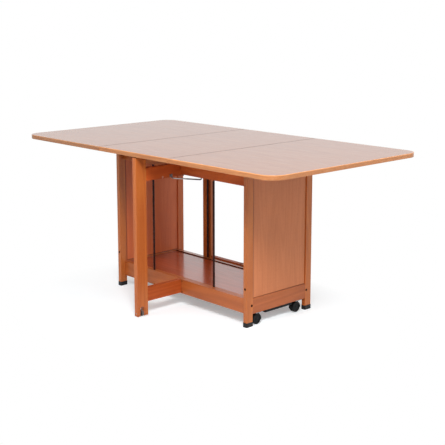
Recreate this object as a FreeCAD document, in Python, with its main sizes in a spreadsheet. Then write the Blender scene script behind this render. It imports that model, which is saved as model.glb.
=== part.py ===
import FreeCAD, Part
import Sketcher
import math
import os
import re

# Folding table with a turning three-panel top, two gates and two castors.
# Millimetres, +Z up, X along the open top, origin on the floor under the middle of the body.

V = FreeCAD.Vector
doc = FreeCAD.newDocument("folding_table")
sizes = doc.addObject("Spreadsheet::Sheet", "Sizes")

SIZES = [
    # the top
    ("table_height", 750), ("top_board", 20), ("top_length", 1712), ("top_width", 932),
    ("centre_length", 486), ("corner_round", 70), ("band", 2), ("arris", 1.2), ("leaf_gap", 1.6),
    ("glide_gap", 4), ("slip", 0.3), ("overcut", 1),
    # leaf hinges, let in flush
    ("hinge_spread", 290), ("hinge_long", 65), ("hinge_flap", 28), ("hinge_plate", 2),
    ("hinge_knuckle", 5), ("hinge_pin", 2.4), ("hinge_slack", 0.6),
    # posts and foot caps
    ("body_length", 916), ("body_depth", 416), ("post_wide", 22), ("post_deep", 38),
    ("post_ease", 2), ("cap_tall", 20), ("cap_wall", 1.2), ("cap_floor", 4),
    # long rails, with the recess that the folded gates lie in
    ("recess", 26), ("rail_thick", 25), ("rail_ease", 1), ("rail_drop", 4),
    ("low_rail_base", 50), ("low_rail_tall", 72), ("high_rail_base", 640),
    ("low_face_base", 62), ("low_face_tall", 67), ("high_face_base", 625), ("high_face_tall", 93),
    # end frames
    ("end_inset", 1), ("end_rail_thick", 20), ("end_low_base", 55), ("end_low_tall", 69),
    ("end_high_tall", 60), ("panel_thick", 10), ("panel_inset", 6), ("panel_ease", 1.5),
    # shelf and rods
    ("shelf_thick", 18), ("shelf_drop", 4.5), ("rod_dia", 10), ("rod_spread", 212),
    ("rod_inset", 7), ("rod_sink", 8), ("bore_slack", 0.1),
    # swivel
    ("swivel_board_wide", 160), ("swivel_board_thick", 22), ("plate_round", 140),
    ("plate_thick", 2), ("race_radius", 52), ("race_wide", 7), ("eyelet_dia", 16), ("eyelet_bore", 12),
    ("eyelet_flange", 28), ("eyelet_lip", 1.5), ("eyelet_trim", 1), ("board_room", 2),
    ("dish_round", 40), ("dish_deep", 1.8),
    # bolts
    ("bolt_head", 9), ("bolt_rim", 0.5), ("bolt_flat", 6.3), ("bolt_dome", 1.5), ("bolt_shank", 5),
    ("bolt_bite", 25), ("bolt_socket", 4), ("bolt_row", 5), ("bolt_low", 94), ("bolt_high", 680),
    ("side_bolt_low", 172), ("side_bolt_high", 700),
    # gates
    ("gate_axis", 10), ("gate_thick", 24), ("gate_reach", 268), ("gate_post", 60),
    ("gate_lift", 3), ("gate_low_base", 65), ("gate_low_tall", 63),
    ("gate_high_base", 618), ("gate_high_tall", 58),
    ("bracket_thick", 1.6), ("bracket_wide", 18), ("bracket_gap", 0.5), ("bracket_room", 3),
    ("gate_pin", 6), ("slot_wide", 22), ("slot_tall", 44), ("slot_in", 26),
    ("roller_dia", 30), ("roller_wide", 18), ("roller_bevel", 2), ("roller_pin", 6), ("pin_hold", 7),
    ("pin_short", 1),
    # stays that hold the gates open
    ("wire_dia", 6), ("stay_x", 150), ("stay_inset", 16), ("stay_low", 11), ("hook_tall", 20),
    ("wire_bend", 8), ("stay_head", 9), ("stay_head_tall", 2), ("stay_head_room", 11),
    ("stay_plate_long", 30), ("stay_plate_wide", 14), ("catch_along", 66), ("catch_plate", 1),
    ("catch_gap", 0.8), ("catch_long", 16), ("catch_tall", 14), ("stow_gap", 1.2),
    # pads
    ("pad_dia", 14), ("pad_spread", 120),
    # castors
    ("castor_inset", 16), ("castor_from_post", 42.5), ("castor_lift", 1), ("wheel_dia", 46),
    ("wheel_wide", 8.5), ("tread_round", 2), ("wheel_dish", 2.5), ("hub_step", 1), ("hub_dia", 13),
    ("dish_dia", 34), ("castor_trail", 12), ("castor_web", 7), ("castor_plate", 2.5),
    ("plate_across", 30), ("plate_along", 40), ("stem_dia", 8), ("stem_long", 6.5),
    ("neck_dia", 18), ("neck_gap", 0.6), ("hood_gap", 1.1), ("hood_wall", 1.2),
    ("hood_skirt", 6), ("axle_dia", 5), ("axle_short", 1), ("wheel_gap", 0.5), ("bar_tall", 13),
    ("bar_wide", 20), ("bar_shift", 1), ("bar_half", 85), ("cleat_thick", 20), ("cleat_tall", 35),
]
for row, (word, number) in enumerate(SIZES, start=1):
    sizes.set(f"A{row}", word)
    sizes.set(f"B{row}", str(number))
    sizes.setAlias(f"B{row}", word)
doc.recompute()
WORDS = re.compile(r"\b(" + "|".join(word for word, number in SIZES) + r")\b")

UNDERSIDE = "(table_height - top_board)"
FRAME_TOP = "(table_height - top_board - glide_gap)"
RAIL_TOP = "(table_height - top_board - glide_gap - rail_drop)"
HALF_LONG = "(body_length / 2)"
HALF_DEEP = "(body_depth / 2)"
POST_IN_X = "(body_length / 2 - post_wide)"
POST_IN_Y = "(body_depth / 2 - post_deep)"
FACE_BACK = "(body_depth / 2 - recess)"
RAIL_BACK = "(body_depth / 2 - recess - rail_thick)"
SHELF_TOP = "(low_rail_base + low_rail_tall - shelf_drop)"
GATE_Y = "(body_depth / 2 - gate_thick / 2)"
FACE_START = "(gate_axis + gate_thick / 2 + bracket_room)"
STAY_Y = "(body_depth / 2 - stay_inset)"
STAY_Z = "(high_face_base - stay_low)"
CATCH_X = "(gate_axis + gate_thick / 2 + catch_plate + catch_gap + wire_dia / 2)"
STAY_DX = f"(stay_x - {CATCH_X})"
STAY_DY = f"({GATE_Y} + catch_along - {STAY_Y})"
STAY_LONG = f"sqrt({STAY_DX} ^ 2 + {STAY_DY} ^ 2)"
CASTOR_X = "(body_length / 2 - castor_inset)"
CASTOR_Y = "(body_depth / 2 - post_deep - castor_from_post)"
AXLE_Z = "(castor_lift + wheel_dia / 2)"

nodes = {}
SIDES = {"front": -1, "back": 1}


def formula(text):
    """The text with each size's name pointing at its cell."""
    return WORDS.sub(r"Sizes.\1", str(text))


def bind(thing, **values):
    """Ties properties of a document object to formulas of named sizes."""
    for name, text in values.items():
        thing.setExpression(name, formula(text))
    return thing


def put(thing, x="0", y="0", z="0", turn=(0, 0, 1), angle="0"):
    """Ties a thing's place and its turn about one axis to formulas."""
    axis = "vector({}; {}; {})".format(*turn)
    text = f"placement(vector({x}; {y}; {z}); rotation({axis}; {angle}))"
    thing.setExpression("Placement", formula(text))
    return thing


def keep(name, thing):
    """Makes a document object one of the table's sub-parts."""
    thing.Label = name
    nodes[name] = thing
    return thing


def span(inner, outer, side):
    """A stretch between two distances from the middle, as its start and its length."""
    start = inner if side > 0 else f"-({outer})"
    return start, f"({outer}) - ({inner})"


def new_sketch(body, role, name):
    """An empty sketch on one of a body's own origin planes."""
    sketch = body.newObject("Sketcher::SketchObject", name)
    plane = [feature for feature in body.Origin.OriginFeatures if feature.Role == role][0]
    sketch.AttachmentSupport = [(plane, "")]
    sketch.MapMode = "FlatFace"
    return sketch


def outline(sketch, corners):
    """A closed outline of straight sides, each corner tied to two formulas."""
    count = len(corners)
    spots = [V(20 * i, 7 * i * i, 0) for i in range(count)]
    for i in range(count):
        sketch.addGeometry(Part.LineSegment(spots[i], spots[(i + 1) % count]))
    for i in range(count):
        sketch.addConstraint(Sketcher.Constraint("Coincident", i, 2, (i + 1) % count, 1))
    for i, (across, up) in enumerate(corners):
        for kind, text, axis in (("DistanceX", across, -2), ("DistanceY", up, -1)):
            if text == "0":
                sketch.addConstraint(Sketcher.Constraint("PointOnObject", i, 1, axis))
                continue
            here = spots[i].x if kind == "DistanceX" else spots[i].y
            number = sketch.addConstraint(Sketcher.Constraint(kind, -1, 1, i, 1, here + 1))
            sketch.setExpression(f"Constraints[{number}]", formula(text))
    return sketch


def rectangle(sketch, wide, tall):
    """A rectangle with one corner on the sketch's origin."""
    return outline(sketch, [("0", "0"), (wide, "0"), (wide, tall), ("0", tall)])


def edges_along(shape, axis, wanted):
    """The names of a shape's straight edges that run along an axis, where their middles are wanted."""
    names = []
    for number, edge in enumerate(shape.Edges, start=1):
        if edge.Curve.TypeId != "Part::GeomLine" or not wanted(edge.CenterOfMass):
            continue
        if abs(edge.tangentAt(edge.FirstParameter).dot(axis)) > 0.99:
            names.append(f"Edge{number}")
    return names


PLANES = {"x": ("YZ_Plane", V(1, 0, 0)), "y": ("XZ_Plane", V(0, 1, 0)), "z": ("XY_Plane", V(0, 0, 1))}


def timber(name, x, y, z, along, ease=None, wanted=lambda spot: True):
    """A sawn piece: its section is padded along the grain and its long edges, or some of them, eased."""
    body = doc.addObject("PartDesign::Body", name)
    role, direction = PLANES[along]
    section = {"x": (y[1], z[1]), "y": (x[1], z[1]), "z": (x[1], y[1])}[along]
    length = {"x": x[1], "y": y[1], "z": z[1]}[along]
    sketch = rectangle(new_sketch(body, role, name + "_section"), *section)
    pad = body.newObject("PartDesign::Pad", name + "_pad")
    pad.Profile = sketch
    pad.Reversed = along == "y"
    bind(pad, Length=length)
    if ease:
        doc.recompute()
        fillet = body.newObject("PartDesign::Fillet", name + "_ease")
        fillet.Base = (pad, edges_along(pad.Shape, direction, wanted))
        bind(fillet, Radius=ease)
    return put(body, x[0], y[0], z[0])


def cylinder(name, axis, x, y, z, radius, length):
    """A round bar or bore along X, Y or Z, from its starting point."""
    bar = doc.addObject("Part::Cylinder", name)
    bind(bar, Radius=radius, Height=length)
    turn, angle = {"x": ((0, 1, 0), "90"), "y": ((1, 0, 0), "-90"), "z": ((0, 0, 1), "0")}[axis]
    return put(bar, x, y, z, turn, angle)


def block(name, x, y, z):
    """A plain block between formulas, used as a cutter or a simple plate."""
    box = doc.addObject("Part::Box", name)
    bind(box, Length=x[1], Width=y[1], Height=z[1])
    return put(box, x[0], y[0], z[0])


def fused(name, things):
    """Several overlapping things made one."""
    fuse = doc.addObject("Part::MultiFuse", name)
    fuse.Shapes = things
    return fuse


def group(name, things):
    """Several separate things kept as one."""
    compound = doc.addObject("Part::Compound", name)
    compound.Links = things
    return compound


def cut(name, blank, tools):
    """A blank with tools taken out of it."""
    result = doc.addObject("Part::Cut", name)
    result.Base = blank
    result.Tool = tools[0] if len(tools) == 1 else group(name + "_tools", tools)
    return result


def copy_of(master, name, x, y, z, turn=(0, 0, 1), angle="0"):
    """A linked copy of a master piece, set in its own place."""
    link = doc.addObject("App::Link", name)
    link.LinkedObject = master
    return put(link, x, y, z, turn, angle)


def revolved(name, role, corners, axis):
    """A turned piece: an outline beside a sketch axis, revolved about it."""
    body = doc.addObject("PartDesign::Body", name)
    sketch = outline(new_sketch(body, role, name + "_profile"), corners)
    turn = body.newObject("PartDesign::Revolution", name + "_turn")
    turn.Profile = sketch
    turn.ReferenceAxis = (sketch, [axis])
    turn.Angle = 360
    return body


# ---------------------------------------------------------------- top panels
# Recess for one leaf hinge: both flaps flush with the underside, and room for the knuckle.
flap_room = block("hinge_room_flaps", ("-hinge_flap", "2 * hinge_flap"), ("-hinge_long / 2", "hinge_long"),
                  ("0", "hinge_plate"))
knuckle_room = block("hinge_room_knuckle",
                     ("-hinge_knuckle / 2 - hinge_slack", "hinge_knuckle + 2 * hinge_slack"),
                     ("-hinge_long / 2", "hinge_long"),
                     ("-overcut", "overcut + hinge_knuckle / 2 + hinge_slack"))
hinge_room = fused("hinge_room", [flap_room, knuckle_room])
HINGE_ROWS = {"near": "-hinge_spread", "middle": "0", "far": "hinge_spread"}
SEAMS = {"left": "-centre_length / 2", "right": "centre_length / 2"}


def hinge_recesses(seam):
    """The three hinge recesses on one seam."""
    return [copy_of(hinge_room, f"recess_{seam}_{row}", SEAMS[seam], y, UNDERSIDE)
            for row, y in HINGE_ROWS.items()]


centre = timber("centre_blank", ("-centre_length / 2 + leaf_gap / 2", "centre_length - leaf_gap"),
                ("-top_width / 2 + band", "top_width - 2 * band"), (UNDERSIDE, "top_board"), "x")
keep("top_centre_panel", cut("centre_cut", centre, hinge_recesses("left") + hinge_recesses("right")))
strips = [timber(f"band_strip_{side}", ("-centre_length / 2 + leaf_gap / 2", "centre_length - leaf_gap"),
                 span("top_width / 2 - band", "top_width / 2", sign), (UNDERSIDE, "top_board"), "x", "arris",
                 lambda spot, sign=sign: (spot.y > 1) == (sign > 0))
          for side, sign in SIDES.items()]
keep("edge_band_centre", group("band_centre", strips))


def leaf_outline(name, shrink, corner, arris=None):
    """A right-hand leaf with two rounded outer corners, as a padded body with its outer edges eased."""
    body = doc.addObject("PartDesign::Body", name)
    start = "(centre_length / 2 + leaf_gap / 2)"
    long = f"top_length / 2 - {start} - {shrink}"
    sketch = rectangle(new_sketch(body, "XY_Plane", name + "_outline"), long, f"top_width - 2 * {shrink}")
    pad = body.newObject("PartDesign::Pad", name + "_pad")
    pad.Profile = sketch
    bind(pad, Length="top_board")
    doc.recompute()
    fillet = body.newObject("PartDesign::Fillet", name + "_corners")
    fillet.Base = (pad, edges_along(pad.Shape, V(0, 0, 1), lambda spot: spot.x > 1))
    bind(fillet, Radius=corner)
    if arris:
        doc.recompute()
        rim = [f"Edge{i}" for i, edge in enumerate(fillet.Shape.Edges, start=1)
               if abs(edge.Vertexes[0].Z - edge.Vertexes[1].Z) < 0.01 and edge.CenterOfMass.x > 1]
        eased = body.newObject("PartDesign::Fillet", name + "_arris")
        eased.Base = (fillet, rim)
        bind(eased, Radius=arris)
    return put(body, start, f"-top_width / 2 + {shrink}", UNDERSIDE)


leaf_core = leaf_outline("leaf_core", "band", "corner_round - band")
leaf_full = leaf_outline("leaf_full", "0", "corner_round", "arris")
leaf_right = keep("top_leaf_right", cut("leaf_cut", leaf_core, hinge_recesses("right")))
band_right = keep("edge_band_right", cut("leaf_band", leaf_full, [leaf_core]))
# The left end is the right one turned half round.
keep("top_leaf_left", group("leaf_left", [copy_of(leaf_right, "leaf_turned", 0, 0, 0, angle=180)]))
keep("edge_band_left", group("band_left", [copy_of(band_right, "band_turned", 0, 0, 0, angle=180)]))

# ---------------------------------------------------------------- leaf hinges
# Two flaps with interleaved knuckles round a pin: the outer two belong to one flap.
KNUCKLE_SIDE = "(hinge_knuckle / 2 + hinge_slack)"
flap_long = "hinge_long - 2 * slip"
knuckle_bar = cylinder("knuckle_bar", "y", 0, f"-({flap_long}) / 2", 0, "hinge_knuckle / 2", flap_long)
pin_bore = cylinder("hinge_bore", "y", 0, "-hinge_long", 0, "hinge_pin / 2 + bore_slack", "2 * hinge_long")
hinge_pin = cylinder("hinge_pin", "y", 0, f"-({flap_long}) / 2", 0, "hinge_pin / 2", flap_long)
plate_right = block("flap_right_plate", (0, "hinge_flap - slip"), (f"-({flap_long}) / 2", flap_long),
                    (0, "hinge_plate"))
plate_left = block("flap_left_plate", ("-hinge_flap + slip", "hinge_flap - slip"),
                   (f"-({flap_long}) / 2", flap_long), (0, "hinge_plate"))
notch_x = (f"-{KNUCKLE_SIDE}", f"2 * {KNUCKLE_SIDE}")
notch_z = (f"-{KNUCKLE_SIDE}", f"2 * {KNUCKLE_SIDE}")
middle_notch = block("middle_notch", notch_x, ("-hinge_long / 6 - slip / 2", "hinge_long / 3 + slip"),
                     notch_z)
near_notch = block("near_notch", notch_x, ("-hinge_long", "hinge_long * 5 / 6 + slip / 2"), notch_z)
far_notch = block("far_notch", notch_x, ("hinge_long / 6 - slip / 2", "hinge_long"), notch_z)
flap_right = cut("flap_right", fused("flap_right_blank", [plate_right, knuckle_bar]),
                 [middle_notch, pin_bore])
flap_left = cut("flap_left", fused("flap_left_blank", [plate_left, knuckle_bar]),
                [near_notch, far_notch, pin_bore])
leaf_hinge = group("leaf_hinge", [flap_right, flap_left, hinge_pin])
keep("leaf_hinges", group("hinge_set", [
    copy_of(leaf_hinge, f"hinge_{seam}_{row}", SEAMS[seam], y, UNDERSIDE)
    for seam in SEAMS for row, y in HINGE_ROWS.items()]))

# ---------------------------------------------------------------- posts and foot caps
HANDS = {"left": -1, "right": 1}


def through_post(name, hand, side):
    """The bolt holes of one post: two along X into the long rails, two along Y into the end frame."""
    bores = []
    bore = "bolt_shank / 2 + bore_slack"
    for level, z in (("low", "bolt_low"), ("high", "bolt_high")):
        bores.append(cylinder(f"{name}_{level}_rail_bore", "x", span(POST_IN_X, HALF_LONG, hand)[0],
                              f"{side} * ({FACE_BACK} - bolt_row)", z, bore, "post_wide"))
    for level, z in (("low", "side_bolt_low"), ("high", "side_bolt_high")):
        bores.append(cylinder(f"{name}_{level}_side_bore", "y", f"{hand} * ({HALF_LONG} - post_wide / 2)",
                              span(POST_IN_Y, HALF_DEEP, side)[0], z, bore, "post_deep"))
    return bores


for end, hand in HANDS.items():
    for face, side in SIDES.items():
        name = f"post_{end}_{face}"
        blank = timber(name + "_blank", span(POST_IN_X, HALF_LONG, hand), span(POST_IN_Y, HALF_DEEP, side),
                       ("cap_floor", f"{FRAME_TOP} - cap_floor"), "z", "post_ease")
        keep(name, cut(name + "_bored", blank, through_post(name, hand, side)))

cap_shell = timber("cap_shell", ("-post_wide / 2 - cap_wall", "post_wide + 2 * cap_wall"),
                   ("-post_deep / 2 - cap_wall", "post_deep + 2 * cap_wall"), (0, "cap_tall"), "z",
                   "post_ease + cap_wall")
cap_room = timber("cap_room", ("-post_wide / 2", "post_wide"), ("-post_deep / 2", "post_deep"),
                  ("cap_floor", "cap_tall"), "z", "post_ease")
foot_cap = cut("foot_cap", cap_shell, [cap_room])
keep("foot_caps", group("cap_set", [
    copy_of(foot_cap, f"cap_{end}_{face}", f"{hand} * ({HALF_LONG} - post_wide / 2)",
            f"{side} * ({HALF_DEEP} - post_deep / 2)", 0)
    for end, hand in HANDS.items() for face, side in SIDES.items()]))

# ---------------------------------------------------------------- end frames


def panel_bolt_bores(end, hand, level, z):
    """The holes in both edges of an end panel or an end rail for the bolts through the posts."""
    return [cylinder(f"end_bore_{end}_{face}_{level}", "y", f"{hand} * ({HALF_LONG} - post_wide / 2)",
                     span(f"{POST_IN_Y} - bolt_bite", POST_IN_Y, side)[0], z,
                     "bolt_shank / 2 + bore_slack", "bolt_bite") for face, side in SIDES.items()]


for end, hand in HANDS.items():
    frame_x = span(f"{HALF_LONG} - end_inset - end_rail_thick", f"{HALF_LONG} - end_inset", hand)
    frame_y = (f"-{POST_IN_Y}", f"2 * {POST_IN_Y}")
    keep(f"end_rail_low_{end}", timber(f"end_low_{end}", frame_x, frame_y,
                                       ("end_low_base", "end_low_tall"), "y", "rail_ease"))
    high_blank = timber(f"end_high_{end}", frame_x, frame_y,
                        (f"{FRAME_TOP} - end_high_tall", "end_high_tall"), "y", "rail_ease")
    keep(f"end_rail_high_{end}", cut(f"end_high_{end}_bored", high_blank,
                                     panel_bolt_bores(end, hand, "high", "side_bolt_high")))
    panel_x = span(f"{HALF_LONG} - panel_inset - panel_thick", f"{HALF_LONG} - panel_inset", hand)
    panel_base = "(end_low_base + end_low_tall)"
    blank = timber(f"panel_{end}", panel_x, frame_y,
                   (panel_base, f"{FRAME_TOP} - end_high_tall - {panel_base}"), "z", "panel_ease")
    keep(f"end_panel_{end}", cut(f"panel_cut_{end}", blank,
                                 panel_bolt_bores(end, hand, "low", "side_bolt_low")))

# ---------------------------------------------------------------- long rails and rods
RAILS = {"low": ("low_rail_base", "low_rail_tall", "bolt_low"),
         "high": ("high_rail_base", f"{RAIL_TOP} - high_rail_base", "bolt_high")}
FACINGS = {"low": ("low_face_base", "low_face_tall"), "high": ("high_face_base", "high_face_tall")}
ROD_LOW = "(low_rail_base + low_rail_tall - rod_sink)"
ROD_LONG = "(high_rail_base + 2 * rod_sink - low_rail_base - low_rail_tall)"

for face, side in SIDES.items():
    rod_y = f"{side} * ({FACE_BACK} - rod_inset)"
    bolt_y = f"{side} * ({FACE_BACK} - bolt_row)"
    for level, (base, tall, bolt_z) in RAILS.items():
        name = f"rail_{level}_{face}"
        blank = timber(name + "_blank", (f"-{POST_IN_X}", f"2 * {POST_IN_X}"),
                       span(RAIL_BACK, FACE_BACK, side), (base, tall), "x", "rail_ease")
        bores = [cylinder(f"{name}_bolt_{end}", "x", span(f"{POST_IN_X} - bolt_bite", POST_IN_X, hand)[0],
                          bolt_y, bolt_z, "bolt_shank / 2 + bore_slack", "bolt_bite")
                 for end, hand in HANDS.items()]
        bores += [cylinder(f"{name}_rod_{end}", "z", f"{hand} * rod_spread", rod_y,
                           ROD_LOW if level == "low" else base, "rod_dia / 2 + bore_slack", "rod_sink")
                  for end, hand in HANDS.items()]
        keep(name, cut(name + "_bored", blank, bores))
        base, tall = FACINGS[level]
        facing = timber(f"facing_{level}_{face}_blank", (FACE_START, f"{POST_IN_X} - {FACE_START}"),
                        span(FACE_BACK, HALF_DEEP, side), (base, tall), "x", "rail_ease")
        if level == "high":
            room = cylinder(f"stay_room_{face}", "z", "stay_x", f"{side} * {STAY_Y}", base,
                            "stay_head_room / 2", "stay_head_tall + 2 * slip")
            facing = cut(f"facing_{level}_{face}_bored", facing, [room])
        keep(f"facing_{level}_{face}", facing)
    for end, hand in HANDS.items():
        keep(f"rod_{end}_{face}", cylinder(f"rod_{end}_{face}", "z", f"{hand} * rod_spread", rod_y,
                                           ROD_LOW, "rod_dia / 2", ROD_LONG))

BETWEEN_RAILS = (f"-{RAIL_BACK}", f"2 * {RAIL_BACK}")
keep("shelf", timber("shelf_board", (f"-{POST_IN_X}", f"2 * {POST_IN_X}"), BETWEEN_RAILS,
                     (f"{SHELF_TOP} - shelf_thick", "shelf_thick"), "x"))

# ---------------------------------------------------------------- frame bolts


def bolt(name, long):
    """A bolt along +X: shank, domed head on the minus side, and a six-sided socket."""
    head = "bolt_head / 2"
    body = revolved(name, "XZ_Plane", [("-bolt_dome", "0"), (long, "0"), (long, "bolt_shank / 2"),
                                       ("0", "bolt_shank / 2"), ("0", head),
                                       ("-bolt_rim", head), ("-bolt_dome", "bolt_flat / 2")], "H_Axis")
    doc.recompute()
    socket = [(f"bolt_socket / 2 * cos({15 + 60 * i})", f"bolt_socket / 2 * sin({15 + 60 * i})")
              for i in range(6)]
    pocket = body.newObject("PartDesign::Pocket", name + "_socket")
    pocket.Profile = outline(new_sketch(body, "YZ_Plane", name + "_hexagon"), socket)
    bind(pocket, Length="bolt_dome")
    return body


rail_bolt = bolt("rail_bolt", "post_wide + bolt_bite")
panel_bolt = bolt("panel_bolt", "post_deep + bolt_bite")
bolts = []
for end, hand in HANDS.items():
    for face, side in SIDES.items():
        for level, z in (("low", "bolt_low"), ("high", "bolt_high")):
            bolts.append(copy_of(rail_bolt, f"rail_bolt_{end}_{face}_{level}", f"{hand} * {HALF_LONG}",
                                 f"{side} * ({FACE_BACK} - bolt_row)", z, angle=90 + 90 * hand))
        for level, z in (("low", "side_bolt_low"), ("high", "side_bolt_high")):
            bolts.append(copy_of(panel_bolt, f"panel_bolt_{end}_{face}_{level}",
                                 f"{hand} * ({HALF_LONG} - post_wide / 2)", f"{side} * {HALF_DEEP}", z,
                                 angle=-90 * side))
keep("frame_bolts", group("bolt_set", bolts))

# ---------------------------------------------------------------- swivel
EYELET_ROOM = "(eyelet_dia / 2 + slip)"
BOARD_TOP = RAIL_TOP
UPPER_BASE = f"({UNDERSIDE} - plate_thick)"
DISH_BASE = f"({UPPER_BASE} - dish_deep)"

board = timber("board_blank", ("-swivel_board_wide / 2", "swivel_board_wide"), BETWEEN_RAILS,
               (f"{BOARD_TOP} - swivel_board_thick", "swivel_board_thick"), "y")
board_hole = cylinder("board_hole", "z", 0, 0, f"{BOARD_TOP} - swivel_board_thick",
                      "eyelet_flange / 2 + board_room", "swivel_board_thick")
keep("swivel_board", cut("board_bored", board, [board_hole]))
keep("swivel_lower_plate", revolved("lower_plate", "XZ_Plane", [
    (EYELET_ROOM, BOARD_TOP), ("plate_round / 2", BOARD_TOP),
    ("plate_round / 2", f"{BOARD_TOP} + plate_thick"), (EYELET_ROOM, f"{BOARD_TOP} + plate_thick")],
    "V_Axis"))
# The upper plate is dished in the middle, so that the eyelet's rim lies below the table top.
keep("swivel_upper_plate", revolved("upper_plate", "XZ_Plane", [
    (EYELET_ROOM, DISH_BASE), ("dish_round / 2 - dish_deep", DISH_BASE), ("dish_round / 2", UPPER_BASE),
    ("plate_round / 2", UPPER_BASE), ("plate_round / 2", UNDERSIDE),
    ("dish_round / 2 - plate_thick / 2", UNDERSIDE),
    ("dish_round / 2 - dish_deep - plate_thick / 2", f"{DISH_BASE} + plate_thick"),
    (EYELET_ROOM, f"{DISH_BASE} + plate_thick")], "V_Axis"))
RIM_BASE = f"({DISH_BASE} + plate_thick + slip)"
RIM_TOP = f"({UNDERSIDE} - slip)"
keep("swivel_eyelet", revolved("eyelet", "XZ_Plane", [
    ("eyelet_bore / 2", f"{BOARD_TOP} - eyelet_lip"), ("eyelet_flange / 2", f"{BOARD_TOP} - eyelet_lip"),
    ("eyelet_flange / 2", BOARD_TOP), ("eyelet_dia / 2", BOARD_TOP), ("eyelet_dia / 2", RIM_BASE),
    ("eyelet_flange / 2 - eyelet_trim", RIM_BASE), ("eyelet_flange / 2 - eyelet_trim", RIM_TOP),
    ("eyelet_bore / 2", RIM_TOP)], "V_Axis"))
# The closed ball race lies on the lower plate and just clears the upper one.
RACE_BASE = f"({BOARD_TOP} + plate_thick)"
RACE_TALL = "(glide_gap + rail_drop - 2 * plate_thick - slip)"
race_blank = cylinder("race_blank", "z", 0, 0, RACE_BASE, "race_radius + race_wide / 2", RACE_TALL)
race_middle = cylinder("race_middle", "z", 0, 0, RACE_BASE, "race_radius - race_wide / 2", RACE_TALL)
keep("swivel_ball_race", cut("race", race_blank, [race_middle]))

# ---------------------------------------------------------------- glide pads
keep("glide_pads", group("pad_set", [
    cylinder(f"pad_{end}_{face}", "z", f"{hand} * ({HALF_LONG} - end_inset - end_rail_thick / 2)",
             f"{side} * pad_spread", FRAME_TOP, "pad_dia / 2", "glide_gap - slip")
    for end, hand in HANDS.items() for face, side in SIDES.items()]))

# ---------------------------------------------------------------- gates
# Every gate piece is made lying along +X from its hinge axis, then set in place as a copy.
GATES = {"front": (-1, -90), "back": (1, 180)}
RAIL_LONG = "(gate_reach - gate_post)"


def nosed_rail(name, base, tall):
    """A gate rail whose hinged end is rounded about the hinge axis, bored for the pin."""
    body = doc.addObject("PartDesign::Body", name)
    sketch = new_sketch(body, "XY_Plane", name + "_outline")
    half, long = 12, 200  # where the sketch starts, before the formulas pull it into place
    nose = Part.Circle(V(0, 0, 0), V(0, 0, 1), half)
    sketch.addGeometry(Part.ArcOfCircle(nose, math.pi / 2, 3 * math.pi / 2))
    sketch.addGeometry(Part.LineSegment(V(0, -half, 0), V(long, -half, 0)))
    sketch.addGeometry(Part.LineSegment(V(long, -half, 0), V(long, half, 0)))
    sketch.addGeometry(Part.LineSegment(V(long, half, 0), V(0, half, 0)))
    for kind, *refs in (("Coincident", 0, 3, -1, 1), ("Tangent", 0, 2, 1, 1), ("Coincident", 1, 2, 2, 1),
                        ("Coincident", 2, 2, 3, 1), ("Tangent", 3, 2, 0, 1), ("Horizontal", 1),
                        ("Vertical", 2), ("Horizontal", 3)):
        sketch.addConstraint(Sketcher.Constraint(kind, *refs))
    radius = sketch.addConstraint(Sketcher.Constraint("Radius", 0, half))
    reach = sketch.addConstraint(Sketcher.Constraint("DistanceX", -1, 1, 1, 2, long))
    sketch.setExpression(f"Constraints[{radius}]", formula("gate_thick / 2"))
    sketch.setExpression(f"Constraints[{reach}]", formula(RAIL_LONG))
    pad = body.newObject("PartDesign::Pad", name + "_pad")
    pad.Profile = sketch
    bind(pad, Length=tall)
    put(body, 0, 0, base)
    bore = cylinder(name + "_bore", "z", 0, 0, base, "gate_pin / 2 + bore_slack", tall)
    return cut(name + "_bored", body, [bore])


upper_rail = nosed_rail("gate_upper", "gate_high_base", "gate_high_tall")
lower_rail = nosed_rail("gate_lower", "gate_low_base", "gate_low_tall")

# The gate post: an arched slot in its foot holds the roller.
gate_stile = timber("gate_stile", (RAIL_LONG, "gate_post"), ("-gate_thick / 2", "gate_thick"),
                    ("gate_lift", f"{FRAME_TOP} - gate_lift"), "z", "post_ease")
SLOT_X = "(gate_reach - slot_in)"
slot_legs = block("slot_legs", (f"{SLOT_X} - slot_wide / 2", "slot_wide"), ("-gate_thick", "2 * gate_thick"),
                  (0, "gate_lift + slot_tall - slot_wide / 2"))
slot_arch = cylinder("slot_arch", "y", SLOT_X, "-gate_thick", "gate_lift + slot_tall - slot_wide / 2",
                     "slot_wide / 2", "2 * gate_thick")
PIN_START = f"({SLOT_X} - slot_wide / 2 - pin_hold)"
pin_room = cylinder("roller_pin_bore", "x", PIN_START, 0, "roller_dia / 2", "roller_pin / 2 + bore_slack",
                    f"gate_reach - {PIN_START}")
stile = cut("gate_stile_bored", gate_stile, [fused("slot", [slot_legs, slot_arch]), pin_room])

roller = revolved("roller", "XZ_Plane", [
    ("-roller_wide / 2", "roller_pin / 2 + bore_slack"), ("roller_wide / 2", "roller_pin / 2 + bore_slack"),
    ("roller_wide / 2", "roller_dia / 2 - roller_bevel"),
    ("roller_wide / 2 - roller_bevel", "roller_dia / 2"),
    ("roller_bevel - roller_wide / 2", "roller_dia / 2"),
    ("-roller_wide / 2", "roller_dia / 2 - roller_bevel")], "H_Axis")
roller_pin = cylinder("roller_pin", "x", PIN_START, 0, "roller_dia / 2", "roller_pin / 2",
                      f"gate_reach - {PIN_START} - pin_short")
gate_pad = cylinder("gate_pad", "z", SLOT_X, 0, FRAME_TOP, "pad_dia / 2", "glide_gap - slip")

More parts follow.
